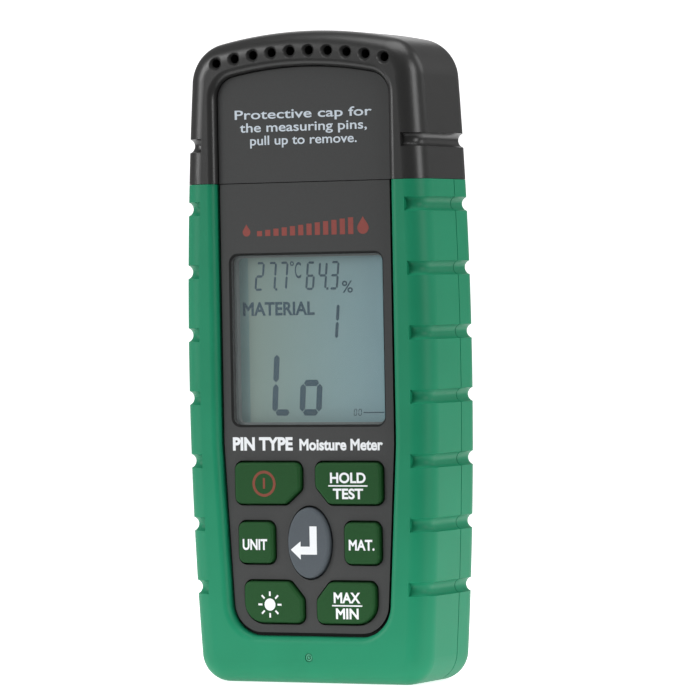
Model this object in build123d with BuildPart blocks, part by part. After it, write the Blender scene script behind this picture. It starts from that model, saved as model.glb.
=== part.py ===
"""Pin-type moisture meter: a hand-held casing with a display, seven keys and a pull-off cap.

Millimetres. The meter stands on its flat lower end: +Z runs up to the cap, -Y faces the user,
X = 0 and Y = 0 are the middles of its width and depth, and Z = 0 is the lower end.
"""

import math
import os

from build123d import *

small_gap = 0.1  # between neighbours that only just clear each other

# Casing
length = 164.4
width = 70.0
side_radius = 1070.0  # the long sides bulge gently
widest_z = 79.5
arch_radius = 117.0  # the crown of the cap
corner_radius = 10.5  # at the crown
foot_corner_radius = 7.5
shoulder = 5.5  # round between the front and the sides
rear_round = 6.5
wall = 2.6
parting_y = 3.3
parting_line = (0.3, 0.4)  # width and depth of the line between the two shells
seam_z = 126.3
seam_gap = 0.1
gate_mark = (6.75, 1.1, 0.25)  # height, radius and depth of the dimple on the lower rim

# Grip grooves
groove_radius = 1.85
groove_pitch = 16.0
groove_first_z = 24.15
groove_count = 8
groove_lift = 0.5  # a groove's centre line runs this far outside the surface
groove_run = 0.3  # how far it reaches in past the rounds, over the front and the rear

# Fascia and what shows through it
fascia_drop = 2.0  # the rim stands this far proud of it
fascia_thickness = 1.8
fascia_lip = 1.0  # how far its flange reaches behind the rim
fascia_gap = 0.9  # the dark channel between the fascia and the rim
fascia_flange = 0.6
fascia_half_top = 24.9
fascia_half_bottom = 22.2
fascia_taper_z = 60.5
fascia_bottom_z = 11.95
fascia_corner = 8.5
rim_round = 1.8
window_width = 42.7
window_height = 42.9
window_z = 86.65
window_corner = 2.0
window_bevel = 0.6
lens_thickness = 1.4
lens_drop = 0.2
lens_gap = 0.1

# Keys
key_height = 10.4
key_row_pitch = 15.0
key_middle_row_z = 35.55
key_outer_x = 11.4
key_outer_width = 18.6
key_side_x = 15.0
key_side_width = 9.9
key_low_x = 10.25
key_low_width = 16.5
key_cut = 4.4  # the slanted corner beside the enter key
key_cut_rise = 0.85  # its height, as a share of its width
key_corner = 1.8
key_low_corner = 5.2
enter_radii = (5.9, 8.9)
key_proud = 1.3
key_edge = 0.7
key_gap = 0.5
key_flange = 0.7
key_flange_thickness = 1.0
key_travel = 0.8
key_stem_radius = 1.8

# Display stack and circuit board
display_drop = 3.5  # the glass lies this far behind the fascia's face
display_glass = 1.6
backlight_thickness = 2.2
display_margin = 0.7  # how far the glass reaches beyond the window
contact_edge = 3.6  # bare lower edge of the glass, over the zebra strip
frame_wall = 1.6
board_thickness = 1.6
board_corner = 1.5
board_standoff = 0.2  # between the light guide and the board
board_half_width = 29.3
board_z = (21.0, 107.0)
board_tongue = (17.0, 117.0)  # half width and top of the strip under the sensor head
mat_thickness = 0.9
dome_radius = 3.2
dome_height = 0.35
board_post = (27.7, 1.55, 27.0, 101.0)  # x, radius and the two heights
board_foot = 4.0  # the strip at the board's foot reaches this far below it
post_pilot_depth = 4.0
board_screw = (1.3, 3.5)  # head height, and shank length in the post
mat_rows = 2.75  # the mat is this many key rows tall
mat_corner = 2.0
controller_size = (12.0, 1.4, 45.0)  # width, thickness and height above the lower end
buzzer_size = (6.0, 3.2, 14.0, 90.0)  # radius, thickness and place
buzzer_hole = (1.0, 1.2)  # radius and depth
strip_margin = (1.0, 0.6)  # the zebra strip stops this far short of the bare edge
frame_sight = 0.6  # the frame reaches this far in over the glass

# Sensor head and cap
cap_wall = 2.4
cap_front_wall = 1.7
cap_fit = 0.3
panel_thickness = 0.6
panel_gap = 0.35
panel_half = 24.2
panel_top_z = 155.15
panel_arch = 100.0
panel_corner = 5.5
head_root_z = 118.5
head_top_z = 140.0
head_edge = 1.2
head_wall = 2.0
vent_count = 10
vent_pitch = 5.29
vent_radius = 1.15
vent_mouth = 1.85
vent_crown_z = 159.25
pin_pitch = 14.0
pin_radius = 1.1
pin_length = 12.0
pin_point = 4.0
pin_root = 6.0
collar_radius = 3.2
collar_height = 3.0
pin_fit = 0.05
pin_tip = 0.12
collar_bevel = 0.4
head_hollow = (20.0, 3.0)  # half width, and depth behind its board
air_slot = (7.0, 1.2, 2.4)  # length, width and pitch
air_slot_count = 3
head_board_gap = 1.0  # it lies this far behind the main board
head_board_half = 17.0
head_board_rise = 1.0
socket_depth = 3.0  # a socket reaches this far below its pin
socket_wall = 1.0
air_sensor_size = (5.0, 1.3, 5.0)
connector_size = (16.0, 5.0, 6.0)  # width, and its reach over each board

# Batteries
cell_radius = 5.25
cell_length = 44.5
cell_nub = (1.9, 0.8)
cell_gap = 0.5
cell_count = 3
spring_length = 4.2
spring_wire = 0.35
spring_turns = 3
spring_share = 0.6  # the coil's radius, as a share of the cell's
contact_thickness = 0.4
contact_depth = 8.4
tray_wall = 1.2
component_room = 4.3  # between the board and the battery tray
cell_clearance = 0.2  # between the cells and the casing's rear wall
tray_low_z = 13.0
door_gap = 0.2
door_side = 3.0  # how far the door reaches past the tray at its sides and head
door_foot = 4.5  # and at its foot, where its tongues swing
door_corner = 2.5
tongue_drop = 2.4
tongue_root = 1.8  # how far the tongue's root reaches up behind the door
tongue_step = 0.5  # between the tongue and the door's inner face
tongue_size = (6.0, 1.2)  # width and thickness
tongue_share = 0.6  # how far out the tongues sit
latch_size = (10.0, 4.0, 1.2)  # width, depth and thickness
latch_inset = 0.6
finger_rib = (14.0, 0.8, 1.6, 0.5)  # length, width, pitch and depth
finger_rib_count = 4
finger_rib_drop = 7.0

# Fasteners
boss_radius = 2.6
boss_inset = 0.2  # between the bosses and the casing's wall
column_extra = 0.5  # the rear columns are this much wider
boss_low_z = 16.0
boss_high_z = 112.6
screw_head_radius = 2.1
screw_head_height = 1.6
screw_shank_radius = 1.1
screw_length = 13.0
screw_sink = 3.0
pilot_gap = 0.05
label_half = (16.0, 11.0)
label_thickness = 0.3
label_corner = 1.5
screw_cross = (2.6, 0.6)  # length and width of the driver's cross

# The depth is what the stack from the fascia to the battery door takes up.
board_stack = display_drop + display_glass + backlight_thickness + board_standoff + board_thickness
cell_stack = tray_wall + small_gap + 2 * cell_radius + cell_clearance
depth = fascia_drop + board_stack + component_room + cell_stack + wall

half_width = width / 2
front_y = -depth / 2
rear_y = depth / 2
fascia_y = front_y + fascia_drop
fascia_back_y = fascia_y + fascia_thickness
display_y = fascia_y + display_drop
board_y = display_y + display_glass + backlight_thickness + board_standoff
board_back_y = board_y + board_thickness
mat_y = board_y - mat_thickness
tray_floor_y = board_back_y + component_room
cap_back_y = fascia_y + panel_thickness + cap_front_wall
groove_heights = [groove_first_z + groove_pitch * i for i in range(groove_count)]

os.makedirs("parts", exist_ok=True)


def half_width_at(z):
    """Half the casing's width at height z."""
    return half_width - side_radius + math.sqrt(side_radius**2 - (z - widest_z) ** 2)


def front_plane(y):
    """The plane at depth y that looks out at the user, with X to the right and Z up."""
    return Plane.XZ.offset(-y)


def save(piece, name):
    """Label one finished piece and write it."""
    piece.label = name
    export_step(piece, f"parts/{name}.step")


def casing_solid(inset):
    """The whole meter's outer form, drawn in by inset on every side."""
    with BuildPart() as form:
        with BuildSketch(front_plane(rear_y - inset)) as outline:
            with Locations((half_width - side_radius, widest_z)):
                Circle(side_radius - inset)
            with Locations((side_radius - half_width, widest_z)):
                Circle(side_radius - inset, mode=Mode.INTERSECT)
            with Locations((0, length - arch_radius)):
                Circle(arch_radius - inset, mode=Mode.INTERSECT)
            with Locations((0, inset)):
                Rectangle(2 * width, 2 * length, align=(Align.CENTER, Align.MIN),
                          mode=Mode.INTERSECT)
            fillet(outline.vertices().group_by(Axis.Y)[-1], corner_radius - inset)
            fillet(outline.vertices().group_by(Axis.Y)[0], foot_corner_radius - inset)
        extrude(amount=depth - 2 * inset)
        fillet(form.faces().sort_by(Axis.Y)[0].edges(), max(shoulder - inset, wall))
        fillet(form.faces().sort_by(Axis.Y)[-1].edges(), max(rear_round - inset, wall / 2))
    return form.part


def slab(low, high):
    """A plain block between its low corner and its high one."""
    size = [b - a for a, b in zip(low, high)]
    middle = [(a + b) / 2 for a, b in zip(low, high)]
    with BuildPart() as block:
        with Locations(tuple(middle)):
            Box(*size)
    return block.part


def between(low_y, high_y, low_z, high_z):
    """The space between two depths and two heights, right across the casing."""
    return slab((-width, low_y, low_z), (width, high_y, high_z))


def grip_grooves(low_z, high_z, grow=0):
    """The half-round grooves with heights from low_z to high_z, both sides, let out by grow."""
    with BuildPart() as grooves:
        for z in [h for h in groove_heights if low_z < h < high_z]:
            edge = half_width_at(z) + groove_lift
            for side in (-1, 1):
                with BuildLine(Plane.XY.offset(z)) as path:
                    FilletPolyline(
                        (side * (edge - shoulder - groove_run), front_y - groove_lift),
                        (side * edge, front_y - groove_lift),
                        (side * edge, rear_y + groove_lift),
                        (side * (edge - rear_round - groove_run), rear_y + groove_lift),
                        radius=[shoulder, rear_round],
                    )
                with BuildSketch(Plane(origin=path.line @ 0, z_dir=path.line % 0)):
                    Circle(groove_radius + grow)
                sweep(path=path.line)
    return grooves.part


def fascia_face(y, grow):
    """The fascia's outline at depth y, let out by grow: a tapered U, square at the seam."""
    top_z = seam_z + max(-grow, 0)
    with BuildSketch(front_plane(y)) as face:
        with BuildLine():
            Polyline(
                (-fascia_half_top, top_z),
                (-fascia_half_top, fascia_taper_z),
                (-fascia_half_bottom, fascia_bottom_z),
                (fascia_half_bottom, fascia_bottom_z),
                (fascia_half_top, fascia_taper_z),
                (fascia_half_top, top_z),
                close=True,
            )
        make_face()
        fillet(face.vertices().group_by(Axis.Y)[0], fascia_corner)
        if grow:
            offset(amount=grow, kind=Kind.ARC)
            with Locations((0, seam_z)):
                Rectangle(2 * width, length, align=(Align.CENTER, Align.MIN), mode=Mode.SUBTRACT)
    return face.sketch


def window_face(y, grow):
    """The display window's outline at depth y, let out by grow."""
    with BuildSketch(front_plane(y)) as face:
        with Locations((0, window_z)):
            RectangleRounded(
                window_width + 2 * grow, window_height + 2 * grow, window_corner + min(grow, 0)
            )
    return face.sketch


casing = casing_solid(0)
cavity = casing_solid(wall)
with BuildPart() as parting_ring:
    add(casing)
    add(casing_solid(parting_line[1]), mode=Mode.SUBTRACT)
    add(grip_grooves(0, seam_z, parting_line[1]))
    half_line = parting_line[0] / 2
    add(between(parting_y - half_line, parting_y + half_line, 0, length), mode=Mode.INTERSECT)

boss_places = [
    (side * (half_width_at(z) - wall - boss_radius - boss_inset), z)
    for z in (boss_low_z, boss_high_z)
    for side in (-1, 1)
]
post_places = [(side * board_post[0], z) for z in board_post[2:] for side in (-1, 1)]

# Front shell: the green front half, a rounded rim round the open fascia, with the screw bosses
# and the posts that the board is screwed to.
with BuildPart() as front_shell:
    add(casing)
    add(between(front_y, parting_y, 0, seam_z), mode=Mode.INTERSECT)
    add(cavity, mode=Mode.SUBTRACT)
    with BuildSketch(front_plane(parting_y)) as boss_ends:
        with Locations(*boss_places):
            Circle(boss_radius)
    extrude(amount=parting_y - front_y - wall)
    with BuildSketch(front_plane(board_y)) as post_ends:
        with Locations(*post_places):
            Circle(board_post[1])
    extrude(amount=board_y - front_y - wall)
    skirt = fascia_face(fascia_back_y - fascia_flange, fascia_lip + small_gap)
    extrude(to_extrude=skirt, amount=fascia_back_y - fascia_flange - front_y - wall)
    extrude(to_extrude=fascia_face(parting_y, 0), amount=depth, mode=Mode.SUBTRACT)
    rim = front_shell.edges().filter_by(
        lambda e: abs(e.center().Y - front_y) < 0.01 and abs(e.center().X) <= fascia_half_top + 0.01
        and fascia_bottom_z - 0.01 <= e.center().Z < seam_z - 0.01
    )
    fillet(rim, rim_round)
    with BuildSketch(front_plane(parting_y)) as boss_pilots:
        with Locations(*boss_places):
            Circle(screw_shank_radius + pilot_gap)
    extrude(amount=screw_length - screw_sink, mode=Mode.SUBTRACT)
    with BuildSketch(front_plane(board_y)) as post_pilots:
        with Locations(*post_places):
            Circle(board_post[1] / 2 + pilot_gap)
    extrude(amount=post_pilot_depth, mode=Mode.SUBTRACT)
    with BuildSketch(front_plane(front_y + gate_mark[2])) as dimple:
        with Locations((0, gate_mark[0])):
            Circle(gate_mark[1])
    extrude(amount=gate_mark[2], mode=Mode.SUBTRACT)
    add(grip_grooves(0, seam_z), mode=Mode.SUBTRACT)
    add(parting_ring.part, mode=Mode.SUBTRACT)
save(front_shell.part, "front_shell")


# Rear shell: the green rear half, with the battery opening, the screw columns and a shallow
# bed for the rating label.
tray_length = cell_length + cell_nub[1] + spring_length + 2 * contact_thickness
tray_high_z = tray_low_z + tray_length + 2 * tray_wall
cell_pitch = 2 * cell_radius + cell_gap
tray_half = (cell_count * cell_pitch + cell_gap) / 2 + tray_wall
tray_back_y = rear_y - wall
door_low_z = tray_low_z - door_foot
door_high_z = tray_high_z + door_side
door_half = tray_half + door_side


def door_face(y, grow):
    """The battery door's outline at depth y, let out by grow."""
    with BuildSketch(front_plane(y)) as face:
        with Locations((0, (door_low_z + door_high_z) / 2)):
            RectangleRounded(
                2 * (door_half + grow), door_high_z - door_low_z + 2 * grow, door_corner + grow
            )
    return face.sketch


label_z = (tray_high_z + door_side + seam_z) / 2
with BuildPart() as rear_shell:
    add(casing)
    add(between(parting_y, rear_y, 0, seam_z), mode=Mode.INTERSECT)
    add(cavity, mode=Mode.SUBTRACT)
    with BuildSketch(front_plane(rear_y - wall / 2)) as column_ends:
        with Locations(*boss_places):
            Circle(boss_radius + column_extra)
    extrude(amount=rear_y - wall / 2 - parting_y)
    with BuildSketch(front_plane(rear_y)) as shank_ends:
        with Locations(*boss_places):
            Circle(screw_shank_radius + small_gap)
    extrude(amount=depth / 2, mode=Mode.SUBTRACT)
    with BuildSketch(front_plane(rear_y)) as sinks:
        with Locations(*boss_places):
            Circle(screw_head_radius + door_gap)
    extrude(amount=screw_sink + screw_head_height, mode=Mode.SUBTRACT)
    extrude(to_extrude=door_face(rear_y, door_gap), amount=wall, mode=Mode.SUBTRACT)
    with BuildSketch(front_plane(rear_y)) as label_bed:
        with Locations((0, label_z)):
            RectangleRounded(2 * label_half[0] + door_gap, 2 * label_half[1] + door_gap, label_corner)
    extrude(amount=label_thickness, mode=Mode.SUBTRACT)
    add(grip_grooves(0, seam_z), mode=Mode.SUBTRACT)
    add(parting_ring.part, mode=Mode.SUBTRACT)
save(rear_shell.part, "rear_shell")

with BuildPart() as rear_label:
    with BuildSketch(front_plane(rear_y)) as label_outline:
        with Locations((0, label_z)):
            RectangleRounded(2 * label_half[0], 2 * label_half[1], label_corner)
    extrude(amount=label_thickness)
save(rear_label.part, "rear_label")

# Case screws: four self-tapping screws, sunk in the rear, that hold the shells together.
screw_head_y = rear_y - screw_sink
with BuildPart() as case_screws:
    with BuildSketch(front_plane(screw_head_y)) as heads:
        with Locations(*boss_places):
            Circle(screw_head_radius)
    extrude(amount=screw_head_height)
    with BuildSketch(front_plane(screw_head_y - screw_head_height)) as shanks:
        with Locations(*boss_places):
            Circle(screw_shank_radius)
    extrude(amount=screw_length)
    with BuildSketch(front_plane(screw_head_y)) as slots:
        with Locations(*boss_places):
            Rectangle(*screw_cross)
            Rectangle(*reversed(screw_cross))
    extrude(amount=screw_head_height / 2, mode=Mode.SUBTRACT)
save(case_screws.part, "case_screws")


# Keys: rubber caps that stand proud of the fascia, each with a flange that keeps it in and a
# stem that presses a snap dome on the board.
def key_face(name, y, grow):
    """One key's outline at depth y, let out by grow."""
    across, row, wide = key_places[name]
    inner = -1 if across > 0 else 1
    with BuildSketch(front_plane(y)) as face:
        with Locations((across, key_middle_row_z + row * key_row_pitch)):
            if name == "enter_key":
                Ellipse(enter_radii[0] + grow, enter_radii[1] + grow)
            else:
                Rectangle(wide, key_height)
        if row:
            beside = face.vertices().group_by(Axis.Y)[0 if row > 0 else -1].sort_by(Axis.X)
            cut_corner = beside[0 if inner < 0 else -1]
            chamfer(cut_corner, key_cut, key_cut * key_cut_rise)
        if name in ("light_key", "max_min_key"):
            low = face.vertices().group_by(Axis.Y)[0].sort_by(Axis.X)
            fillet(low[-1 if inner < 0 else 0], key_low_corner)
        if name != "enter_key":
            sharp = [v for v in face.vertices() if not any(e.geom_type == GeomType.CIRCLE
                     for e in face.edges() if v in e.vertices())]
            fillet(sharp, key_corner)
            if grow:
                offset(amount=grow)
    return face.sketch


key_places = {
    "power_key": (-key_outer_x, 1, key_outer_width),
    "hold_key": (key_outer_x, 1, key_outer_width),
    "unit_key": (-key_side_x, 0, key_side_width),
    "enter_key": (0, 0, 2 * enter_radii[0]),
    "material_key": (key_side_x, 0, key_side_width),
    "light_key": (-key_low_x, -1, key_low_width),
    "max_min_key": (key_low_x, -1, key_low_width),
}
stem_end_y = mat_y + mat_thickness - dome_height - key_travel - small_gap
for key_name, (across, row, wide) in key_places.items():
    with BuildPart() as key:
        extrude(to_extrude=key_face(key_name, fascia_back_y, 0), amount=fascia_thickness + key_proud)
        fillet(key.faces().sort_by(Axis.Y)[0].edges(), key_edge)
        flange_face = key_face(key_name, fascia_back_y + small_gap + key_flange_thickness,
                               key_gap + key_flange)
        extrude(to_extrude=flange_face, amount=key_flange_thickness)
        extrude(to_extrude=key_face(key_name, fascia_back_y + small_gap, 0), amount=small_gap)
        with BuildSketch(front_plane(stem_end_y)) as stem_end:
            with Locations((across, key_middle_row_z + row * key_row_pitch)):
                Circle(key_stem_radius)
        extrude(amount=stem_end_y - fascia_back_y - small_gap)
    save(key.part, key_name)

# Fascia: the dark front plate, held by its flange behind the rim, open for the keys and display.
with BuildPart() as fascia:
    lip_y = fascia_back_y - fascia_flange
    extrude(to_extrude=fascia_face(fascia_back_y, fascia_lip), amount=fascia_back_y - lip_y)
    extrude(to_extrude=fascia_face(lip_y, -fascia_gap), amount=lip_y - fascia_y)
    with BuildSketch(front_plane(fascia_back_y)) as seam_trim:
        with Locations((0, seam_z - seam_gap)):
            Rectangle(width, width, align=(Align.CENTER, Align.MIN))
    extrude(amount=fascia_thickness, mode=Mode.SUBTRACT)
    for key_name in key_places:
        key_hole = key_face(key_name, fascia_back_y, key_gap)
        extrude(to_extrude=key_hole, amount=fascia_thickness, mode=Mode.SUBTRACT)
    extrude(to_extrude=window_face(fascia_back_y, 0), amount=fascia_thickness, mode=Mode.SUBTRACT)
    mouth = fascia.edges().filter_by(
        lambda e: abs(e.center().Y - fascia_y) < 0.01
        and abs(e.center().X) <= window_width / 2 + 0.01
        and abs(e.center().Z - window_z) <= window_height / 2 + 0.01
    )
    chamfer(mouth, window_bevel)
save(fascia.part, "fascia")

# Display: a clear window, the liquid crystal glass behind it, its frame, the light guide and
# the zebra strip that joins the glass to the board.
glass_half = window_width / 2 + display_margin
glass_top = window_z + window_height / 2 + display_margin
glass_low = window_z - window_height / 2 - display_margin - contact_edge
with BuildPart() as display_window:
    window = window_face(fascia_y + lens_drop + lens_thickness, -lens_gap)
    extrude(to_extrude=window, amount=lens_thickness)
save(display_window.part, "display_window")

with BuildPart() as display_glass_panel:
    add(slab((-glass_half, display_y, glass_low), (glass_half, display_y + display_glass, glass_top)))
save(display_glass_panel.part, "display_glass")

guide_y = display_y + display_glass + small_gap
with BuildPart() as light_guide:
    add(slab((-glass_half, guide_y, glass_low + contact_edge),
             (glass_half, guide_y + backlight_thickness, glass_top)))
save(light_guide.part, "light_guide")

with BuildPart() as zebra_strip:
    strip_y = display_y + display_glass
    add(slab((strip_margin[0] - glass_half, strip_y, glass_low + strip_margin[1]),
             (glass_half - strip_margin[0], board_y, glass_low + contact_edge - strip_margin[1])))
save(zebra_strip.part, "zebra_strip")

with BuildPart() as display_frame:
    frame_half = glass_half + frame_wall
    add(slab((-frame_half, fascia_back_y + small_gap, glass_low - frame_wall),
             (frame_half, board_y, glass_top + frame_wall)))
    add(slab((-glass_half - lens_gap, display_y, glass_low - lens_gap),
             (glass_half + lens_gap, board_y, glass_top + lens_gap)), mode=Mode.SUBTRACT)
    sight = window_face(board_y, -frame_sight)
    extrude(to_extrude=sight, amount=board_y - fascia_back_y, mode=Mode.SUBTRACT)
save(display_frame.part, "display_frame")

# Circuit board with its dome mat, snap domes, controller, buzzer and screws.
dome_places = [
    (across, key_middle_row_z + row * key_row_pitch) for across, row, wide in key_places.values()
]
with BuildPart() as main_board:
    with BuildSketch(front_plane(board_back_y)) as board_outline:
        with Locations((0, (board_z[0] + board_z[1]) / 2)):
            RectangleRounded(2 * board_half_width, board_z[1] - board_z[0], board_corner)
        with Locations((0, board_z[0] - board_foot)):
            Rectangle(2 * board_tongue[0], board_tongue[1] - board_z[0] + board_foot,
                      align=(Align.CENTER, Align.MIN))
        with Locations(*post_places):
            Circle(board_post[1] / 2 + 2 * pilot_gap, mode=Mode.SUBTRACT)
    extrude(amount=board_thickness)
save(main_board.part, "main_board")

with BuildPart() as key_mat:
    with BuildSketch(front_plane(board_y)) as mat_outline:
        with Locations((0, key_middle_row_z)):
            RectangleRounded(2 * fascia_half_bottom, mat_rows * key_row_pitch, mat_corner)
        with Locations(*dome_places):
            Circle(dome_radius + small_gap, mode=Mode.SUBTRACT)
    extrude(amount=mat_thickness)
save(key_mat.part, "key_mat")

with BuildPart() as snap_domes:
    with BuildSketch(front_plane(board_y)) as dome_feet:
        with Locations(*dome_places):
            Circle(dome_radius)
    extrude(amount=dome_height, taper=45)
save(snap_domes.part, "snap_domes")

with BuildPart() as controller:
    with BuildSketch(front_plane(board_back_y + controller_size[1])) as controller_outline:
        with Locations((0, controller_size[2])):
            Rectangle(controller_size[0], controller_size[0])
    extrude(amount=controller_size[1])
save(controller.part, "controller")

with BuildPart() as buzzer:
    with BuildSketch(front_plane(board_back_y + buzzer_size[1])) as buzzer_outline:
        with Locations(buzzer_size[2:]):
            Circle(buzzer_size[0])
    extrude(amount=buzzer_size[1])
    with BuildSketch(front_plane(board_back_y + buzzer_size[1])) as sound_hole:
        with Locations(buzzer_size[2:]):
            Circle(buzzer_hole[0])
    extrude(amount=buzzer_hole[1], mode=Mode.SUBTRACT)
save(buzzer.part, "buzzer")

with BuildPart() as board_screws:
    with BuildSketch(front_plane(board_back_y + board_screw[0])) as board_heads:
        with Locations(*post_places):
            Circle(board_post[1])
    extrude(amount=board_screw[0])
    with BuildSketch(front_plane(board_back_y)) as board_shanks:
        with Locations(*post_places):
            Circle(board_post[1] / 2)
    extrude(amount=board_thickness + board_screw[1])
save(board_screws.part, "board_screws")

# Battery bay: a tray behind the board, three cells head to tail, their springs and contacts.
with BuildPart() as battery_tray:
    add(slab((-tray_half, tray_floor_y, tray_low_z), (tray_half, tray_back_y, tray_high_z)))
    add(slab((-tray_half + tray_wall, tray_floor_y + tray_wall, tray_low_z + tray_wall),
             (tray_half - tray_wall, tray_back_y, tray_high_z - tray_wall)), mode=Mode.SUBTRACT)
save(battery_tray.part, "battery_tray")

cell_y = tray_floor_y + tray_wall + cell_radius + small_gap
bay_low = tray_low_z + tray_wall
bay_high = tray_high_z - tray_wall
for i in range(cell_count):
    cell_x = (i - (cell_count - 1) / 2) * cell_pitch
    upright = i % 2 == 0
    body_low = bay_low + contact_thickness + (spring_length if upright else cell_nub[1])
    with BuildPart() as cell:
        with BuildSketch(Plane.XY.offset(body_low)) as can:
            with Locations((cell_x, cell_y)):
                Circle(cell_radius)
        extrude(amount=cell_length)
        nub_z = body_low + cell_length if upright else body_low - cell_nub[1]
        with BuildSketch(Plane.XY.offset(nub_z)) as nub:
            with Locations((cell_x, cell_y)):
                Circle(cell_nub[0])
        extrude(amount=cell_nub[1])
    save(cell.part, f"battery_cell_{i + 1}")

with BuildPart() as battery_springs:
    for i in range(cell_count):
        cell_x = (i - (cell_count - 1) / 2) * cell_pitch
        coil_rise = spring_length - 4 * spring_wire
        low_end = bay_low + contact_thickness + 2 * spring_wire
        high_end = bay_high - contact_thickness - 2 * spring_wire - coil_rise
        coil_z = low_end if i % 2 == 0 else high_end
        with BuildLine() as coil:
            Helix(pitch=coil_rise / spring_turns, height=coil_rise, radius=cell_radius * spring_share,
                  center=(cell_x, cell_y, coil_z))
        with BuildSketch(Plane(origin=coil.line @ 0, z_dir=coil.line % 0)):
            Circle(spring_wire)
        sweep(path=coil.line)
save(battery_springs.part, "battery_springs")

with BuildPart() as battery_contacts:
    for z in (bay_low, bay_high - contact_thickness):
        with Locations((0, cell_y, z)):
            Box(2 * (tray_half - tray_wall - cell_gap), contact_depth, contact_thickness,
                align=(Align.CENTER, Align.CENTER, Align.MIN))
save(battery_contacts.part, "battery_contacts")

# Battery door: hooked into the rear shell by two tongues at its foot and caught by a latch
# at its head; it swings out about its lower outer edge.
with BuildPart() as battery_door:
    extrude(to_extrude=door_face(rear_y, 0), amount=wall - small_gap)
    inner_y = rear_y - wall + small_gap
    tongue_y = inner_y - tongue_step
    for side in (-1, 1):
        tongue_x = side * door_half * tongue_share
        low_x = tongue_x - tongue_size[0] / 2
        high_x = tongue_x + tongue_size[0] / 2
        root_z = door_low_z + tongue_root
        add(slab((low_x, tongue_y - tongue_size[1], door_low_z - tongue_drop), (high_x, tongue_y, root_z)))
        add(slab((low_x, tongue_y - tongue_size[1], root_z - tongue_size[1]), (high_x, inner_y, root_z)))
    latch_top = door_high_z - latch_inset
    add(slab((-latch_size[0] / 2, inner_y - latch_size[1], latch_top - latch_size[2]),
             (latch_size[0] / 2, inner_y, latch_top)))
    with BuildSketch(front_plane(rear_y)) as finger_ribs:
        with Locations((0, door_high_z - finger_rib_drop)):
            with GridLocations(0, finger_rib[2], 1, finger_rib_count):
                SlotOverall(finger_rib[0], finger_rib[1])
    extrude(amount=finger_rib[3], mode=Mode.SUBTRACT)
save(battery_door.part, "battery_door")

# Sensor head: a black block clamped between the shells. It stands up inside the cap and holds
# the two measuring pins, the air sensor and their small board.
neck_y = (cap_back_y + cap_fit, rear_y - cap_wall - cap_fit)
neck_half = half_width_at(head_top_z) - cap_wall - cap_fit
head_board_y = (board_back_y + head_board_gap, board_back_y + head_board_gap + board_thickness)
pin_y = (head_board_y[0] + head_board_y[1]) / 2
with BuildPart() as sensor_head:
    add(casing_solid(wall + small_gap))
    root_y = fascia_back_y + small_gap
    add(between(root_y, rear_y, head_root_z, seam_z), mode=Mode.INTERSECT)
    with BuildSketch(Plane.XY.offset(seam_z - small_gap)) as neck_section:
        with Locations((0, sum(neck_y) / 2)):
            RectangleRounded(2 * neck_half, neck_y[1] - neck_y[0], rear_round - cap_wall)
    extrude(amount=head_top_z - seam_z + small_gap)
    fillet(sensor_head.faces().sort_by(Axis.Z)[-1].edges(), head_edge)
    add(slab((-head_hollow[0], board_y, head_root_z),
             (head_hollow[0], head_board_y[1] + head_hollow[1], head_top_z - 2 * head_wall)),
        mode=Mode.SUBTRACT)
    with BuildSketch(Plane.XY.offset(head_top_z)) as pin_holes:
        with Locations((0, pin_y)):
            with GridLocations(pin_pitch, 0, 2, 1):
                Circle(pin_radius + pin_fit)
    extrude(amount=-2 * head_wall, mode=Mode.SUBTRACT)
    with BuildSketch(Plane.XY.offset(head_top_z)) as air_slots:
        with Locations((0, pin_y)):
            with GridLocations(air_slot[2], 0, air_slot_count, 1):
                SlotOverall(air_slot[0], air_slot[1], rotation=90)
    extrude(amount=-2 * head_wall, mode=Mode.SUBTRACT)
save(sensor_head.part, "sensor_head")

for side, side_name in ((-1, "left"), (1, "right")):
    with BuildPart() as pin:
        shank = pin_length - pin_point
        with Locations((side * pin_pitch / 2, pin_y, head_top_z - pin_root)):
            Cylinder(pin_radius, pin_root + shank, align=(Align.CENTER, Align.CENTER, Align.MIN))
        with Locations((side * pin_pitch / 2, pin_y, head_top_z + shank)):
            Cone(pin_radius, pin_tip, pin_point, align=(Align.CENTER, Align.CENTER, Align.MIN))
    save(pin.part, f"pin_{side_name}")

with BuildPart() as pin_collars:
    with BuildSketch(Plane.XY.offset(head_top_z)) as collar_ends:
        with Locations((0, pin_y)):
            with GridLocations(pin_pitch, 0, 2, 1):
                RegularPolygon(collar_radius, 6)
                Circle(pin_radius + pin_fit, mode=Mode.SUBTRACT)
    extrude(amount=collar_height)
    chamfer(pin_collars.faces().sort_by(Axis.Z)[-2:].edges().filter_by(GeomType.LINE), collar_bevel)
save(pin_collars.part, "pin_collars")

socket_low = head_top_z - pin_root - socket_depth
with BuildPart() as head_board:
    add(slab((-head_board_half, head_board_y[0], head_root_z + head_board_rise),
             (head_board_half, head_board_y[1], socket_low)))
save(head_board.part, "head_board")

with BuildPart() as pin_sockets:
    with BuildSketch(Plane.XY.offset(socket_low)) as socket_ends:
        with Locations((0, pin_y)):
            with GridLocations(pin_pitch, 0, 2, 1):
                Circle(pin_radius + socket_wall)
    extrude(amount=head_top_z - 2 * head_wall - socket_low)
    with BuildSketch(Plane.XY.offset(socket_low + socket_depth)) as socket_bores:
        with Locations((0, pin_y)):
            with GridLocations(pin_pitch, 0, 2, 1):
                Circle(pin_radius + pin_fit)
    extrude(amount=pin_root, mode=Mode.SUBTRACT)
save(pin_sockets.part, "pin_sockets")

with BuildPart() as air_sensor:
    add(slab((-air_sensor_size[0] / 2, head_board_y[1], socket_low - air_sensor_size[2]),
             (air_sensor_size[0] / 2, head_board_y[1] + air_sensor_size[1], socket_low)))
save(air_sensor.part, "air_sensor")

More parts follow.
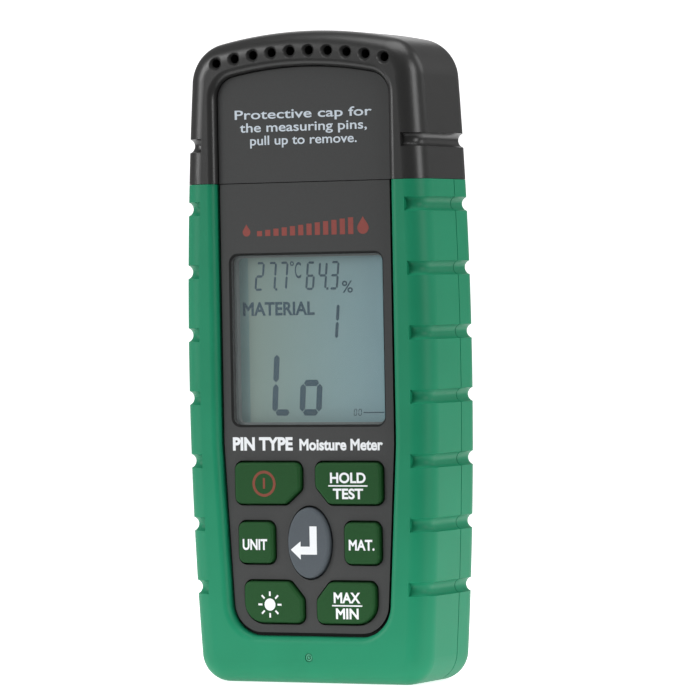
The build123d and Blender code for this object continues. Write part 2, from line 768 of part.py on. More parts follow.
with BuildPart() as head_connector:
    add(slab((-connector_size[0] / 2, board_back_y, board_tongue[1] - connector_size[1]),
             (connector_size[0] / 2, head_board_y[0], head_root_z + connector_size[2])))
save(head_connector.part, "head_connector")

# Cap: a hollow black cover that pulls off upwards over the sensor head. Ten vents run along
# its crown, and its face carries a plain panel in line with the fascia.
def cap_panel_face(y, grow):
    """The cap panel's outline at depth y, let out by grow: square at the seam, arched on top."""
    with BuildSketch(front_plane(y)) as face:
        with Locations((0, panel_top_z - panel_arch)):
            Circle(panel_arch)
        with Locations((0, seam_z)):
            Rectangle(2 * panel_half, length, align=(Align.CENTER, Align.MIN), mode=Mode.INTERSECT)
        fillet(face.vertices().group_by(Axis.Y)[-1], panel_corner)
        if grow:
            offset(amount=grow)
            with Locations((0, seam_z)):
                Rectangle(2 * width, length, align=(Align.CENTER, Align.MAX), mode=Mode.SUBTRACT)
    return face.sketch


cap_low_z = seam_z + seam_gap
vent_centre = vent_crown_z - arch_radius
vent_xs = [(i - (vent_count - 1) / 2) * vent_pitch for i in range(vent_count)]
with BuildPart() as pocket:
    add(casing_solid(cap_wall))
    add(between(cap_back_y, rear_y, 0, length), mode=Mode.INTERSECT)

with BuildPart() as cap:
    add(casing)
    add(between(front_y, rear_y, cap_low_z, length), mode=Mode.INTERSECT)
    add(grip_grooves(seam_z, length), mode=Mode.SUBTRACT)
    add(pocket.part, mode=Mode.SUBTRACT)
    recess = cap_panel_face(fascia_y + panel_thickness, panel_gap)
    extrude(to_extrude=recess, amount=depth, mode=Mode.SUBTRACT)
    crest = cap.edges().filter_by(
        lambda e: abs(e.center().Y - front_y) < 0.01 and abs(e.center().X) < fascia_half_top
        and e.center().Z > cap_low_z + 0.01 and e.center().Z < panel_top_z + 1
    )
    fillet(crest, rim_round)
    with Locations(*[
        Location((x, front_y, vent_centre + math.sqrt(arch_radius**2 - x**2)), (90, 0, 0))
        for x in vent_xs
    ]):
        CounterSinkHole(vent_radius, vent_mouth, depth / 2)
save(cap.part, "cap")

with BuildPart() as cap_panel:
    extrude(to_extrude=cap_panel_face(fascia_y + panel_thickness, 0), amount=panel_thickness)
    with BuildSketch(front_plane(fascia_y + panel_thickness)) as panel_foot:
        with Locations((0, cap_low_z)):
            Rectangle(width, width, align=(Align.CENTER, Align.MAX))
    extrude(amount=panel_thickness, mode=Mode.SUBTRACT)
save(cap_panel.part, "cap_panel")
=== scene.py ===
import math

import bpy
from mathutils import Matrix, Vector


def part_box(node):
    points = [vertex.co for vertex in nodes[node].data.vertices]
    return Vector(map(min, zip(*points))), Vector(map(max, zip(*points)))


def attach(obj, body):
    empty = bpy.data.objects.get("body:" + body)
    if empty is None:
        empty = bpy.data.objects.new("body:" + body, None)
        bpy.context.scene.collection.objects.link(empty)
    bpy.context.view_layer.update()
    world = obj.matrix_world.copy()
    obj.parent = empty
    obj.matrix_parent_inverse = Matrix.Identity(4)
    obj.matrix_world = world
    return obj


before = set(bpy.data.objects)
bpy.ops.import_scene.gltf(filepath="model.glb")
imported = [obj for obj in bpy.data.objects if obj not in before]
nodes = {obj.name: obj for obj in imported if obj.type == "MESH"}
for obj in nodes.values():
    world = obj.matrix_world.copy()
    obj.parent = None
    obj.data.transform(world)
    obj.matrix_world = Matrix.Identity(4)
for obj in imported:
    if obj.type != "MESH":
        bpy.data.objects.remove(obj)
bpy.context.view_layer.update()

# Camera. A long lens looks at the face from the meter's right, almost level with its middle,
# and leans a touch.
camera_azimuth = math.radians(27.0)
camera_elevation = math.radians(0.717)
camera_roll = math.radians(-1.016)
camera_distance = 1.2291
camera_slide = 0.01083
camera_aim = Vector((0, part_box("fascia")[0].y, 0.08385))

towards = Vector((
    math.sin(camera_azimuth) * math.cos(camera_elevation),
    -math.cos(camera_azimuth) * math.cos(camera_elevation),
    math.sin(camera_elevation),
))
level_right = Vector((0, 0, 1)).cross(towards).normalized()
level_up = towards.cross(level_right)
right = math.cos(camera_roll) * level_right + math.sin(camera_roll) * level_up
up = math.cos(camera_roll) * level_up - math.sin(camera_roll) * level_right
camera = bpy.data.objects.new("camera", bpy.data.cameras.new("camera"))
bpy.context.scene.collection.objects.link(camera)
camera.data.lens = 251.5
camera.data.sensor_width = 36.0
camera.data.clip_start = 0.05
camera.data.clip_end = 20
place = camera_aim + towards * camera_distance + level_right * camera_slide
camera.matrix_world = Matrix((
    (right.x, up.x, towards.x, place.x),
    (right.y, up.y, towards.y, place.y),
    (right.z, up.z, towards.z, place.z),
    (0, 0, 0, 1),
))
bpy.context.scene.camera = camera


# Studio. The meter stands on a lit strip of white paper that faces the camera, runs back and
# curves up into a wall. The room round it is dim; a soft box stands at each side and one
# behind, and one hangs overhead.
MM = 0.001
paper_half_width, paper_rise = 620, 2600
paper_front, paper_back = -95, 2700
paper_bend, bend_steps = 900, 12


def new_piece(name, points, faces, smooth=False):
    """Points in millimetres and the faces between them, as an object in the scene."""
    mesh = bpy.data.meshes.new(name)
    mesh.from_pydata([(x * MM, y * MM, z * MM) for x, y, z in points], [], faces)
    for face in mesh.polygons:
        face.use_smooth = smooth
    piece = bpy.data.objects.new(name, mesh)
    bpy.context.scene.collection.objects.link(piece)
    return piece


class Val:
    """A socket that Python's operators work on: each of them adds one Math node."""

    def __init__(self, tree, socket):
        self.tree = tree
        self.socket = socket

    def math(self, operation, *others):
        node = self.tree.nodes.new("ShaderNodeMath")
        node.operation = operation
        for place, value in zip(node.inputs, (self, *others)):
            if isinstance(value, Val):
                self.tree.links.new(value.socket, place)
            else:
                place.default_value = value
        return Val(self.tree, node.outputs[0])

    def __add__(self, other):
        return self.math("ADD", other)

    def __mul__(self, other):
        return self.math("MULTIPLY", other)

    def __sub__(self, other):
        return self.math("SUBTRACT", other)

    def __rsub__(self, other):
        return self.math("MULTIPLY", -1.0).math("ADD", other)

    __radd__ = __add__
    __rmul__ = __mul__

    def above(self, edge):
        return self.math("GREATER_THAN", edge)

    def below(self, edge):
        return self.math("LESS_THAN", edge)

    def rise(self, low, high):
        """0 below low, 1 above high, and a straight climb between."""
        climb = ((self - low) * (1 / (high - low))).math("MAXIMUM", 0.0)
        return climb.math("MINIMUM", 1.0)


class Finish:
    """One Principled material. What varies over it is put on its shader's sockets, and every
    node but the Math ones comes from the method node."""

    def __init__(self, name, **sockets):
        self.material = bpy.data.materials.new(name)
        self.material.use_nodes = True
        self.tree = self.material.node_tree
        self.shader = self.tree.nodes["Principled BSDF"]
        self.put(self.shader, sockets)

    def put(self, node, sockets):
        for name, value in sockets.items():
            socket = node.inputs[name.replace("_", " ") if isinstance(name, str) else name]
            if isinstance(value, Val):
                self.tree.links.new(value.socket, socket)
            else:
                socket.default_value = value

    def node(self, kind, settings=None, sockets=None, out=0):
        """Any other node: its type, its settings, and what its sockets hold."""
        made = self.tree.nodes.new(kind)
        for key, value in (settings or {}).items():
            setattr(made, key, value)
        self.put(made, sockets or {})
        return Val(self.tree, made.outputs[out])

    def place(self):
        """Where a point of the piece lies, in millimetres: x, y and z."""
        where = self.node("ShaderNodeTexCoord", out="Object")
        split = self.node("ShaderNodeSeparateXYZ", {}, {0: where})
        return [Val(self.tree, split.socket.node.outputs[axis]) * 1000.0 for axis in "XYZ"]

    def noise(self, scale, detail=3.0, roughness=0.5, stretch=(1, 1, 1)):
        """Noise in the meter's own space; scale is in blobs per metre."""
        where = self.node("ShaderNodeTexCoord", out="Object")
        spread = self.node("ShaderNodeVectorMath", {"operation": "MULTIPLY"}, {0: where, 1: stretch})
        return self.node("ShaderNodeTexNoise", {}, {
            "Vector": spread, "Scale": scale, "Detail": detail, "Roughness": roughness})

    def mix(self, factor, one, other):
        """A colour between two others: 6 and 7 are the Mix node's colour inputs."""
        return self.node("ShaderNodeMix", {"data_type": "RGBA"}, {0: factor, 6: one, 7: other}, out=2)

    def bump(self, height, strength, distance):
        normal = self.node("ShaderNodeBump", {}, {
            "Strength": strength, "Distance": distance, "Height": height})
        self.put(self.shader, {"Normal": normal})
        return self

    def skin(self, low, high, scale, rough, spread, strength, stretch=(1, 1, 1)):
        """The common case: one noise that drives colour, roughness and a fine relief."""
        grain = self.noise(scale, 3, 0.55, stretch)
        self.put(self.shader, {
            "Base Color": self.mix(grain, (*low, 1), (*high, 1)),
            "Roughness": rough + grain * spread})
        return self.bump(grain, strength, 0.05 * MM)

    def give(self, *objects):
        for piece in objects:
            piece.data.materials.clear()
            piece.data.materials.append(self.material)
        return self


profile = [(paper_front, 0), (paper_back - paper_bend, 0)]
for i in range(1, bend_steps + 1):
    turn = math.radians(90 / bend_steps * i)
    profile.append((
        paper_back - paper_bend * (1 - math.sin(turn)),
        paper_bend * (1 - math.cos(turn)),
    ))
profile.append((paper_back, paper_rise))
cosine, sine = math.cos(camera_azimuth), math.sin(camera_azimuth)
points = [(x * cosine - y * sine, x * sine + y * cosine, z)
          for x in (-paper_half_width, paper_half_width) for y, z in profile]
count = len(profile)
faces = [(i, count + i, count + i + 1, i + 1) for i in range(count - 1)]
paper = new_piece("paper_sweep", points, faces, smooth=True)
Finish("white_paper", Base_Color=(0.80, 0.80, 0.80, 1), Roughness=0.9, Emission_Strength=0.80,
       Emission_Color=(1, 1, 1, 1)).give(paper)

room = bpy.data.worlds.new("room")
bpy.context.scene.world = room
room.use_nodes = True
room_light = room.node_tree.nodes["Background"]
room_light.inputs["Color"].default_value = (1, 1, 1, 1)
room_light.inputs["Strength"].default_value = 0.27


def soft_box(name, place, size, power):
    light = bpy.data.lights.new(name, "AREA")
    light.shape = "RECTANGLE"
    light.size, light.size_y = size
    light.energy = power
    box = bpy.data.objects.new(name, light)
    bpy.context.scene.collection.objects.link(box)
    box.location = place
    aim = Vector((0, 0, 0.085)) - box.location
    box.rotation_euler = aim.to_track_quat("-Z", "Y").to_euler()


soft_box("left_box", (-0.95, -0.85, 0.55), (0.5, 0.9), 10.5)
soft_box("right_box", (1.20, -0.35, 0.45), (0.5, 0.9), 7.6)
soft_box("top_box", (0.1, -0.10, 1.25), (1.0, 0.8), 9.0)
soft_box("rear_box", (0.95, 0.85, 0.75), (0.6, 0.8), 3.0)
bpy.context.scene.view_settings.view_transform = "Standard"

# Casing. Two moulded shells of green plastic with a fine satin skin, screwed together from the
# rear; the battery door is moulded from the same stock. Handling has polished the skin a
# little, so its shine is uneven.
casing_green = Finish("casing_green", IOR=1.46, Specular_IOR_Level=0.28)
cloudy = casing_green.noise(60, 2)
grain = casing_green.noise(5200, 2)
casing_green.put(casing_green.shader, {
    "Base Color": casing_green.mix(cloudy, (0.005, 0.188, 0.090, 1), (0.008, 0.228, 0.114, 1)),
    "Roughness": 0.40 + grain * 0.10 + cloudy * 0.04,
})
casing_green.bump(grain, 0.12, 0.05 * MM)
casing_green.give(nodes["front_shell"], nodes["rear_shell"], nodes["battery_door"])

# Gate mark. A small round pip in a shallow ring on the lower rim, left where the plastic was
# let into the mould and its stub was trimmed off; it is of the front shell's own plastic.
gate_z, gate_y = 6.75, -14.76
gate_rings = ((1.09, 0.0), (0.95, 0.03), (0.80, 0.15), (0.66, 0.15), (0.55, 0.02), (0.30, 0.04),
              (0.22, 0.20))
gate_crown = 0.22
steps = 32
points = []
for radius, lift in gate_rings:
    for i in range(steps):
        turn = 2 * math.pi * i / steps
        points.append((radius * math.cos(turn), gate_y - lift, gate_z + radius * math.sin(turn)))
points.append((0, gate_y - gate_crown, gate_z))
faces = []
for ring in range(len(gate_rings)):
    for i in range(steps):
        here, after = ring * steps + i, ring * steps + (i + 1) % steps
        if ring < len(gate_rings) - 1:
            faces.append((here, after, after + steps, here + steps))
        else:
            faces.append((here, after, len(points) - 1))
gate_mark = new_piece("gate_mark", points, faces, smooth=True)
gate_shadow_y = gate_y - 0.06
gate_green = Finish("gate_green", IOR=1.46, Specular_IOR_Level=0.4)
_, depth_in, _ = gate_green.place()
# Points deeper than gate_shadow_y, low in the ring and round the pip, are painted dark green as shade.
ring = depth_in.above(gate_shadow_y)
gate_green.put(gate_green.shader, {
    "Base Color": gate_green.mix(ring, (0.045, 0.30, 0.17, 1), (0.008, 0.12, 0.06, 1)),
    "Roughness": 0.35 + ring * 0.3})
gate_green.bump(gate_green.noise(5000), 0.15, 0.05 * MM)
gate_green.give(gate_mark)
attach(gate_mark, "casing")

# Fascia and cap panel. Charcoal plastic, finely spark-eroded on its faces; the walls of the
# channel round the fascia, of the key holes and of the window are painted near black as shade.
face_y = -12.94
charcoal = Finish("charcoal_matte", IOR=1.46, Specular_IOR_Level=0.3)
_, depth_in, _ = charcoal.place()
# face is 0 deeper than face_y, and there the colour is painted near black as shade.
face = 1.0 - depth_in.above(face_y)
speckle = charcoal.noise(6500, 3, 0.6)
worn = charcoal.mix(speckle, (0.034, 0.035, 0.035, 1), (0.056, 0.057, 0.057, 1))
charcoal.put(charcoal.shader, {
    "Base Color": charcoal.mix(face, (0.004, 0.004, 0.004, 1), worn),
    "Roughness": 0.52 + speckle * 0.12,
})
charcoal.bump(speckle, 0.16, 0.04 * MM)
charcoal.give(nodes["fascia"], nodes["cap_panel"])

# Cap and sensor head. Black plastic, a shade smoother than the fascia. No light reaches the
# gap round the cap's panel or the bores of its ten vents, which lie along a shallow arch.
rim_y, gap_y, gap_floor_y = -14.3, -13.1, -12.0
gap_half_width, gap_top_z = 26.6, 157.2
vent_arch, vent_arch_z, vent_pitch, vents_each_side = 117.0, 42.25, 5.29, 5
vent_bore, vent_mouth = 1.50, 1.97
cap_black = Finish("cap_black", IOR=1.5, Specular_IOR_Level=0.5)
cap_grain = cap_black.noise(4200, 2)
cap_cloud = cap_black.noise(90, 2)
across, depth_in, up_z = cap_black.place()
span = across.math("ABSOLUTE")
gap = depth_in.rise(rim_y, gap_y) * depth_in.below(gap_floor_y) * span.below(gap_half_width)
gap = gap * up_z.below(gap_top_z)
aside = ((across * (1 / vent_pitch)).math("FRACT") - 0.5) * vent_pitch
above = up_z - vent_arch_z - (vent_arch**2 - across * across).math("SQRT")
in_row = span.below(vent_pitch * vents_each_side) * depth_in.below(0.0)
vent = 1.0 - (aside * aside + above * above).math("SQRT").rise(vent_bore, vent_mouth)
dark = (gap + vent * in_row).math("MINIMUM", 1.0)
shown = cap_black.mix(cap_grain, (0.011, 0.011, 0.011, 1), (0.019, 0.019, 0.0185, 1))
cap_black.put(cap_black.shader, {
    "Base Color": cap_black.mix(dark, shown, (0.002, 0.002, 0.002, 1)),
    "Roughness": 0.27 + cap_grain * 0.08 + cap_cloud * 0.05 + dark * 0.4,
})
cap_black.bump(cap_grain, 0.15, 0.05 * MM)
cap_black.give(nodes["cap"])
Finish("head_black", IOR=1.5).skin(
    (0.022, 0.022, 0.023), (0.038, 0.038, 0.038), 4800, 0.42, 0.14, 0.2).give(nodes["sensor_head"])

# Keys. Silicone rubber caps, dark green, and a gray one for enter. Their skin is dull and a
# little dusty.
key_bodies = {
    "power_key": "power_button",
    "hold_key": "hold_button",
    "unit_key": "unit_button",
    "enter_key": "enter_button",
    "material_key": "material_button",
    "light_key": "light_button",
    "max_min_key": "max_min_button",
}
rubber_green = Finish("rubber_green", IOR=1.41, Specular_IOR_Level=0.25).skin(
    (0.006, 0.049, 0.010), (0.012, 0.072, 0.018), 3800, 0.50, 0.14, 0.12)
rubber_gray = Finish("rubber_gray", IOR=1.41, Specular_IOR_Level=0.3).skin(
    (0.064, 0.076, 0.088), (0.086, 0.100, 0.114), 3800, 0.50, 0.14, 0.12)
for name in key_bodies:
    gray = name == "enter_key"
    (rubber_gray if gray else rubber_green).give(nodes[name])


# Title and cap note. White ink, screen-printed on the fascia and on the cap's panel. The words
# are cut from a plain sans-serif letter and thickened to the weight of the print.
def lettering(name, words, x, z, y, weight=0.12):
    """Words fitted between two x and two z values on the plane at depth y. A bead of ink,
    weight millimetres wide, runs round each letter and makes it bold."""
    font_unit = 1.35  # in heights of a capital letter
    ink_lift, ink_build = 0.01, 0.02
    letters = bpy.data.curves.new(name, "FONT")
    letters.body = words
    letters.resolution_u = 6
    letters.bevel_resolution = 1
    letters.bevel_depth = weight / ((z[1] - z[0]) * font_unit)
    writer = bpy.data.objects.new(name, letters)
    bpy.context.scene.collection.objects.link(writer)
    bpy.context.view_layer.update()
    mesh = bpy.data.meshes.new_from_object(writer)
    bpy.data.objects.remove(writer)
    bpy.data.curves.remove(letters)
    spots = [tuple(corner.co) for corner in mesh.vertices]
    faces = [tuple(face.vertices) for face in mesh.polygons]
    bpy.data.meshes.remove(mesh)
    low = [min(spot[axis] for spot in spots) for axis in range(3)]
    high = [max(spot[axis] for spot in spots) for axis in range(3)]
    points = []
    for spot in spots:
        along, rise, lift = [(spot[axis] - low[axis]) / (high[axis] - low[axis]) for axis in range(3)]
        points.append((
            x[0] + along * (x[1] - x[0]),
            y + ink_lift - ink_build * lift,
            z[0] + rise * (z[1] - z[0]),
        ))
    return new_piece(name, points, faces)


ink_white = Finish("ink_white", IOR=1.45).skin(
    (0.70, 0.72, 0.75), (0.84, 0.86, 0.88), 5200, 0.50, 0.15, 0.08)
print_y = -13.02
title_z = 58.75
title = [
    lettering("title_kind", "PIN TYPE", (-21.6, -4.5), (title_z, title_z + 3.4), print_y, 0.20),
    lettering("title_word", "Moisture Meter", (-2.6, 20.9), (title_z, title_z + 2.95), print_y, 0.14),
]
ink_white.give(*title)
for piece in title:
    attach(piece, "casing")

ink_pale = Finish("ink_pale", IOR=1.45).skin(
    (0.50, 0.56, 0.62), (0.60, 0.67, 0.74), 5200, 0.50, 0.15, 0.08)
note_lines = (
    ("Protective cap for", 19.4, 142.3),
    ("the measuring pins,", 18.0, 139.0),
    ("pull up to remove.", 15.1, 135.7),
)
tail_drop, letter_rise = 0.6, 2.5
for i, (words, half, foot) in enumerate(note_lines):
    line = lettering(f"cap_note_{i + 1}", words, (-half, half), (foot - tail_drop, foot + letter_rise),
                     print_y, 0.05)
    ink_pale.give(line)
    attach(line, "cap")


# Scale mark. A row of bars that grow from a small drop to a large one, screen-printed in red
# ink above the display, stands for the moisture scale.
def shapes(name, outlines, y):
    """Flat polygons, each a ring of x and z, printed on the plane at depth y."""
    points = [(x, y, z) for ring in outlines for x, z in ring]
    faces = []
    start = 0
    for ring in outlines:
        faces.append(tuple(range(start, start + len(ring))))
        start += len(ring)
    return new_piece(name, points, faces)


def bar(x0, x1, z0, z1):
    """An upright rectangle."""
    return [(x0, z0), (x1, z0), (x1, z1), (x0, z1)]


def drop(x, z, radius, parts=28):
    """A drop of water: a circle drawn in and up to a point at its top."""
    ring = []
    for i in range(parts):
        turn = 2 * math.pi * i / parts
        lift = 0.75 * max(0.0, math.sin(turn)) ** 3
        ring.append((x + radius * math.cos(turn) * (1 - lift), z + radius * (math.sin(turn) + lift)))
    return ring


ink_red = Finish("ink_red", IOR=1.45).skin(
    (0.19, 0.034, 0.026), (0.27, 0.052, 0.040), 5200, 0.50, 0.15, 0.08)
mark_z = 112.9
bars, bar_start, bar_pitch, bar_width = 12, -13.6, 2.35, 1.45
bar_height, bar_growth = 1.3, 2.9
scale_rings = [drop(-16.6, mark_z + 1.1, 1.1), drop(16.4, mark_z + 1.6, 1.6)]
for i in range(bars):
    x = bar_start + i * bar_pitch
    scale_rings.append(bar(x, x + bar_width, mark_z, mark_z + bar_height + bar_growth * i / (bars - 1)))
scale_print = shapes("scale_print", scale_rings, print_y)
ink_red.give(scale_print)
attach(scale_print, "casing")


# Key legends. White ink on the keys, and a dull orange ring and bar for power. Each is printed
# on its own key and goes down with it.
key_print_y = -14.32


def on_key(piece, key, ink):
    ink.give(piece)
    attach(piece, key_bodies[key])


def ring_band(x, z, inner, outer, parts=48):
    """A flat ring, cut into four-sided pieces."""
    def spot(radius, i):
        turn = 2 * math.pi * i / parts
        return x + radius * math.cos(turn), z + radius * math.sin(turn)

    return [[spot(inner, i), spot(outer, i), spot(outer, i + 1), spot(inner, i + 1)] for i in range(parts)]


ink_orange = Finish("ink_orange", IOR=1.45).skin(
    (0.15, 0.030, 0.012), (0.22, 0.046, 0.020), 5200, 0.50, 0.15, 0.08)
power = ring_band(-12.2, 50.45, 2.6, 3.3) + [bar(-12.5, -11.9, 49.2, 51.9)]
on_key(shapes("power_sign", power, key_print_y), "power_key", ink_orange)

near_rule, far_from_rule, rule_half, rule_reach, lower_share = 0.65, 3.35, 0.17, 0.5, 0.85
legend_weight = 0.11
for key, upper, lower, x, z, wide in (
        ("hold_key", "HOLD", "TEST", 11.55, 49.95, 5.0),
        ("max_min_key", "MAX", "MIN", 10.75, 19.9, 3.75)):
    low = wide * lower_share
    on_key(lettering(key + "_upper", upper, (x - wide, x + wide), (z + near_rule, z + far_from_rule),
                     key_print_y, legend_weight), key, ink_white)
    on_key(lettering(key + "_lower", lower, (x - low, x + low), (z - far_from_rule, z - near_rule),
                     key_print_y, legend_weight), key, ink_white)
    rule = bar(x - wide - rule_reach, x + wide + rule_reach, z - rule_half, z + rule_half)
    on_key(shapes(key + "_rule", [rule], key_print_y), key, ink_white)
on_key(lettering("unit_word", "UNIT", (-18.6, -11.6), (33.65, 36.45), key_print_y, legend_weight),
       "unit_key", ink_white)
on_key(lettering("material_word", "MAT.", (11.5, 18.7), (33.75, 36.5), key_print_y, legend_weight),
       "material_key", ink_white)

sun_x, sun_z, sun_radius, sun_steps = -11.1, 19.95, 1.55, 32
rays, ray_start, ray_end, ray_half = 8, 2.15, 3.3, 0.24
sun = [[(sun_x + sun_radius * math.cos(2 * math.pi * i / sun_steps),
         sun_z + sun_radius * math.sin(2 * math.pi * i / sun_steps)) for i in range(sun_steps)]]
for i in range(rays):
    cosine, sine = math.cos(2 * math.pi * i / rays), math.sin(2 * math.pi * i / rays)
    sun.append([(sun_x + along * cosine - aside * sine, sun_z + along * sine + aside * cosine)
                for along, aside in bar(ray_start, ray_end, -ray_half, ray_half)])
on_key(shapes("light_sign", sun, key_print_y), "light_key", ink_white)

arrow = [(0.5, 39.75), (2.5, 39.75), (2.5, 32.65), (-2.1, 32.65), (-2.1, 31.35), (-4.9, 33.85),
         (-2.1, 35.95), (-2.1, 34.65), (0.5, 34.65)]
on_key(shapes("enter_arrow", [arrow], key_print_y), "enter_key", ink_white)

# Display. The liquid crystal glass is a pale blue-gray, painted lighter and bluer towards its right
# as painted light, and painted darker in a band at its left where the window's edge shades it;
# its segments are dark blue-gray and lie in the glass.
glass_half_width = 21.0
shaded_to, lit_from = -18.4, -18.0
panel_gray = Finish("display_panel", IOR=1.5, Specular_IOR_Level=0.2)
across, _, _ = panel_gray.place()
# sweep climbs from the glass's left edge to its right: painted light, lighter and bluer to the right.
sweep = across.rise(-glass_half_width, glass_half_width)
shade = across.rise(shaded_to, lit_from)
glass_painted_light = panel_gray.mix(sweep, (0.165, 0.228, 0.196, 1), (0.180, 0.302, 0.335, 1))
panel_gray.put(panel_gray.shader, {
    "Base Color": panel_gray.mix(shade, (0.112, 0.195, 0.192, 1), glass_painted_light),
    "Roughness": 0.30 + panel_gray.noise(900) * 0.08})
panel_gray.bump(panel_gray.noise(9000, 1), 0.04, 0.02 * MM)
panel_gray.give(nodes["display_glass"])

lit_segments = {
    "0": "abcdef", "1": "bc", "2": "abged", "3": "abgcd", "4": "fgbc", "6": "afgedc", "7": "abc",
    "L": "fed", "o": "gcde",
}


def digit(sign, x0, x1, z0, z1, stroke, lean=0.09):
    """A seven-segment digit or letter that leans to the right; a to g are its segments."""
    middle = (z0 + z1) / 2
    half, gap = stroke / 2, stroke * 0.12
    flat = {"a": z1 - half, "g": middle, "d": z0 + half}
    tall = {"f": (x0 + half, middle, z1 - half), "b": (x1 - half, middle, z1 - half),
            "e": (x0 + half, z0 + half, middle), "c": (x1 - half, z0 + half, middle)}
    rings = []
    for mark in lit_segments[sign]:
        if mark in flat:
            z = flat[mark]
            left, right_end = x0 + half + gap, x1 - half - gap
            rings.append([(left, z), (x0 + stroke, z - half), (x1 - stroke, z - half), (right_end, z),
                          (x1 - stroke, z + half), (x0 + stroke, z + half)])
        else:
            x, low, high = tall[mark]
            rings.append([(x, low + gap), (x + half, low + half + gap), (x + half, high - half - gap),
                          (x, high - gap), (x - half, high - half - gap), (x - half, low + half + gap)])
    return [[(x + (z - z0) * lean, z) for x, z in ring] for ring in rings]


reading_z, reading_width, reading_stroke = 99.1, 2.5, 0.60
segments = []
for sign, x, top_z in (("2", -16.5, 106.4), ("7", -13.0, 106.4), ("7", -9.7, 106.4),
                       ("6", -2.0, 106.3), ("4", 1.45, 106.3), ("3", 4.75, 106.3)):
    segments += digit(sign, x, x + reading_width, reading_z, top_z, reading_stroke)
for x in (-10.55, 4.0):
    segments.append(bar(x, x + reading_stroke, reading_z, reading_z + reading_stroke))
segments += digit("1", 3.5, 7.0, 86.35, 95.9, 0.85, 0.08)
for sign, left, right_end in (("L", -12.1, -6.1), ("o", -4.3, 2.0)):
    segments += digit(sign, left, right_end, 67.45, 83.9, 1.6, 0.06)
for x in (11.1, 12.4):
    segments += digit("0", x, x + 0.9, 67.35, 69.1, 0.2, 0.08)
segments.append(bar(13.9, 19.7, 68.05, 68.3))
segment_y = -9.52
display_signs = [
    shapes("display_segments", segments, segment_y),
    shapes("display_degree", ring_band(-5.65, 105.85, 0.28, 0.6, 24), segment_y),
    lettering("display_celsius", "C", (-4.85, -3.05), (102.1, 106.2), segment_y, 0.05),
    lettering("display_percent", "%", (8.4, 11.5), (98.25, 101.3), segment_y, 0.05),
    lettering("display_word", "MATERIAL", (-19.9, 0.6), (92.8, 96.25), segment_y, 0.14),
]
crystal = Finish("liquid_crystal", IOR=1.5, Specular_IOR_Level=0.2).skin(
    (0.016, 0.048, 0.070), (0.024, 0.062, 0.088), 2500, 0.32, 0.08, 0.04)
crystal.give(*display_signs)
for piece in display_signs:
    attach(piece, "casing")

# Display window. A flat pane of clear acrylic, cut to the fascia's opening and set a hair below
# its face. Wiping has left a faint film on it.
acrylic = Finish("clear_acrylic", Base_Color=(0.9, 0.95, 0.96, 1), IOR=1.49)
film = acrylic.noise(300, 2)
acrylic.put(acrylic.shader, {"Roughness": 0.03 + film * 0.05, "Alpha": 0.02 + film * 0.02})
acrylic.give(nodes["display_window"])

# Display frame and light guide. The frame is matt gray where it lines the window and black
# behind the glass; the guide is a white diffuser.
lining_end_y = -9.4
frame_gray = Finish("frame_gray", IOR=1.46)
_, depth_in, _ = frame_gray.place()
behind = depth_in.above(lining_end_y)
dust = frame_gray.noise(5000)
frame_gray.put(frame_gray.shader, {
    "Base Color": frame_gray.mix(behind, (0.10, 0.12, 0.12, 1), (0.02, 0.02, 0.02, 1)),
    "Roughness": 0.5 + dust * 0.15})
frame_gray.bump(dust, 0.15, 0.04 * MM)
frame_gray.give(nodes["display_frame"])
Finish("guide_white", IOR=1.49).skin(
    (0.72, 0.74, 0.74), (0.86, 0.87, 0.87), 900, 0.35, 0.1, 0.05).give(nodes["light_guide"])

# Zebra strip. Thin layers of conducting and plain silicone, side by side, carry the display's
# signals down to the board.
layers_per_mm = 6.0
zebra = Finish("zebra_rubber", IOR=1.41)
across, _, _ = zebra.place()
layers = (across * layers_per_mm).math("FRACT").above(0.5)
zebra.put(zebra.shader, {
    "Base Color": zebra.mix(layers, (0.55, 0.54, 0.50, 1), (0.02, 0.02, 0.02, 1)),
    "Roughness": 0.55 + layers * 0.1})
zebra.bump(layers, 0.1, 0.02 * MM).give(nodes["zebra_strip"])

# Boards. Green solder mask over glass cloth, with copper lines that show through it as paler
# ones; the same stock makes the little board in the sensor head.
tracks_per_mm, track_share = 0.42, 0.32
rows_per_mm, row_share = 0.11, 0.8
board_mask = Finish("board_mask", IOR=1.5)
across, _, up_z = board_mask.place()
lines = (across * tracks_per_mm).math("FRACT").below(track_share)
lines = lines * (up_z * rows_per_mm).math("FRACT").below(row_share)
weave = board_mask.noise(2600, 2, 0.5, (1, 1, 3))
board_mask.put(board_mask.shader, {
    "Base Color": board_mask.mix(lines, (0.010, 0.072, 0.026, 1), (0.022, 0.135, 0.050, 1)),
    "Roughness": 0.30 + weave * 0.15})
board_mask.bump(lines + weave * 0.3, 0.2, 0.03 * MM).give(nodes["main_board"], nodes["head_board"])

# Key mat and snap domes. The mat is a thin gray silicone sheet; the domes are pressed from
# bright spring steel.
Finish("mat_silicone", IOR=1.41).skin(
    (0.16, 0.16, 0.16), (0.22, 0.22, 0.22), 3000, 0.6, 0.12, 0.1).give(nodes["key_mat"])
Finish("dome_steel", Metallic=1.0).skin(
    (0.50, 0.50, 0.50), (0.66, 0.66, 0.65), 2200, 0.24, 0.12, 0.1).give(nodes["snap_domes"])

# Parts on the board: the controller's black epoxy, the buzzer's black can with its sound hole,
# and the nylon connector that leads up to the sensor head.
Finish("epoxy_black", IOR=1.55).skin(
    (0.012, 0.012, 0.013), (0.026, 0.026, 0.027), 5000, 0.5, 0.2, 0.25).give(nodes["controller"])
Finish("buzzer_black", IOR=1.5).skin(
    (0.015, 0.015, 0.015), (0.028, 0.028, 0.028), 1800, 0.28, 0.12, 0.1).give(nodes["buzzer"])
Finish("connector_nylon", IOR=1.5).skin(
    (0.60, 0.57, 0.48), (0.74, 0.71, 0.62), 2600, 0.45, 0.12, 0.12).give(nodes["head_connector"])

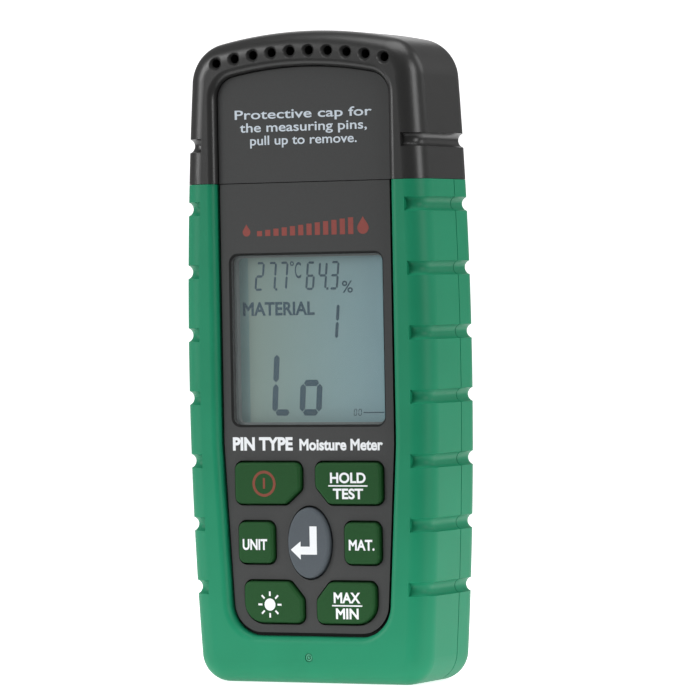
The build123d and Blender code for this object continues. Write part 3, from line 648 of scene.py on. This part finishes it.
# Screws. Zinc-plated steel with the faint rings of the header's die; four hold the shells and
# four the board.
Finish("screw_zinc", Metallic=1.0).skin(
    (0.42, 0.43, 0.45), (0.62, 0.63, 0.64), 3200, 0.26, 0.16, 0.2, (1, 0.3, 1)).give(
    nodes["case_screws"], nodes["board_screws"])

# Battery bay. The tray is black, its springs are nickel-plated wire and its end plates bright
# nickel.
Finish("tray_black", IOR=1.46).skin(
    (0.018, 0.018, 0.018), (0.032, 0.032, 0.032), 4200, 0.48, 0.16, 0.2).give(nodes["battery_tray"])
Finish("spring_nickel", Metallic=1.0).skin(
    (0.52, 0.50, 0.46), (0.70, 0.68, 0.63), 4000, 0.22, 0.14, 0.15).give(
    nodes["battery_springs"], nodes["battery_contacts"])

# Cells. Each wears a printed foil jacket, black over most of its length and copper-coloured
# towards its pip, with bare steel at both ends; the middle cell stands the other way up.
bare_foot, copper_from, bare_head = 0.022, 0.70, 0.965
for i, name in enumerate(("battery_cell_1", "battery_cell_2", "battery_cell_3")):
    cell = nodes[name]
    low, high = [corner.z * 1000 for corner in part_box(name)]
    jacket = Finish(f"cell_jacket_{i + 1}", IOR=1.5)
    _, _, up_z = jacket.place()
    along = (up_z - low) * (1 / (high - low))
    if i == 1:
        along = 1.0 - along
    band = along.above(copper_from)
    bare = along.below(bare_foot) + along.above(bare_head)
    print_colour = jacket.mix(band, (0.016, 0.016, 0.018, 1), (0.42, 0.16, 0.055, 1))
    foil = jacket.noise(1500, 2, 0.5, (1, 1, 0.2))
    jacket.put(jacket.shader, {
        "Base Color": jacket.mix(bare, print_colour, (0.62, 0.62, 0.60, 1)),
        "Metallic": bare * 0.9 + band * 0.35,
        "Roughness": 0.26 + foil * 0.12})
    jacket.bump(foil, 0.05, 0.03 * MM).give(cell)

# Rear label. A sheet of silver-gray polyester, glued into a shallow bed in the rear shell; it is
# left blank.
Finish("label_film", Metallic=0.3).skin(
    (0.34, 0.35, 0.36), (0.44, 0.45, 0.46), 1500, 0.36, 0.12, 0.06).give(nodes["rear_label"])

# Measuring pins, their collars and sockets. The pins are hardened steel ground to a point, the
# collars nickel-plated hexagons and the sockets turned brass.
Finish("pin_hardened", Metallic=1.0).skin(
    (0.55, 0.55, 0.56), (0.72, 0.72, 0.73), 3600, 0.16, 0.12, 0.2, (0.25, 0.25, 3)).give(
    nodes["pin_left"], nodes["pin_right"])
Finish("collar_nickel", Metallic=1.0).skin(
    (0.58, 0.56, 0.51), (0.72, 0.70, 0.64), 3000, 0.22, 0.14, 0.15).give(nodes["pin_collars"])
Finish("socket_brass", Metallic=1.0).skin(
    (0.62, 0.44, 0.16), (0.76, 0.57, 0.25), 3000, 0.24, 0.14, 0.15).give(nodes["pin_sockets"])

# Air sensor. A pale ceramic-filled case that feels the air's warmth and damp, soldered to the
# head's board behind the air slots.
Finish("sensor_pale", IOR=1.5).skin(
    (0.62, 0.62, 0.60), (0.78, 0.78, 0.76), 3600, 0.5, 0.14, 0.15).give(nodes["air_sensor"])
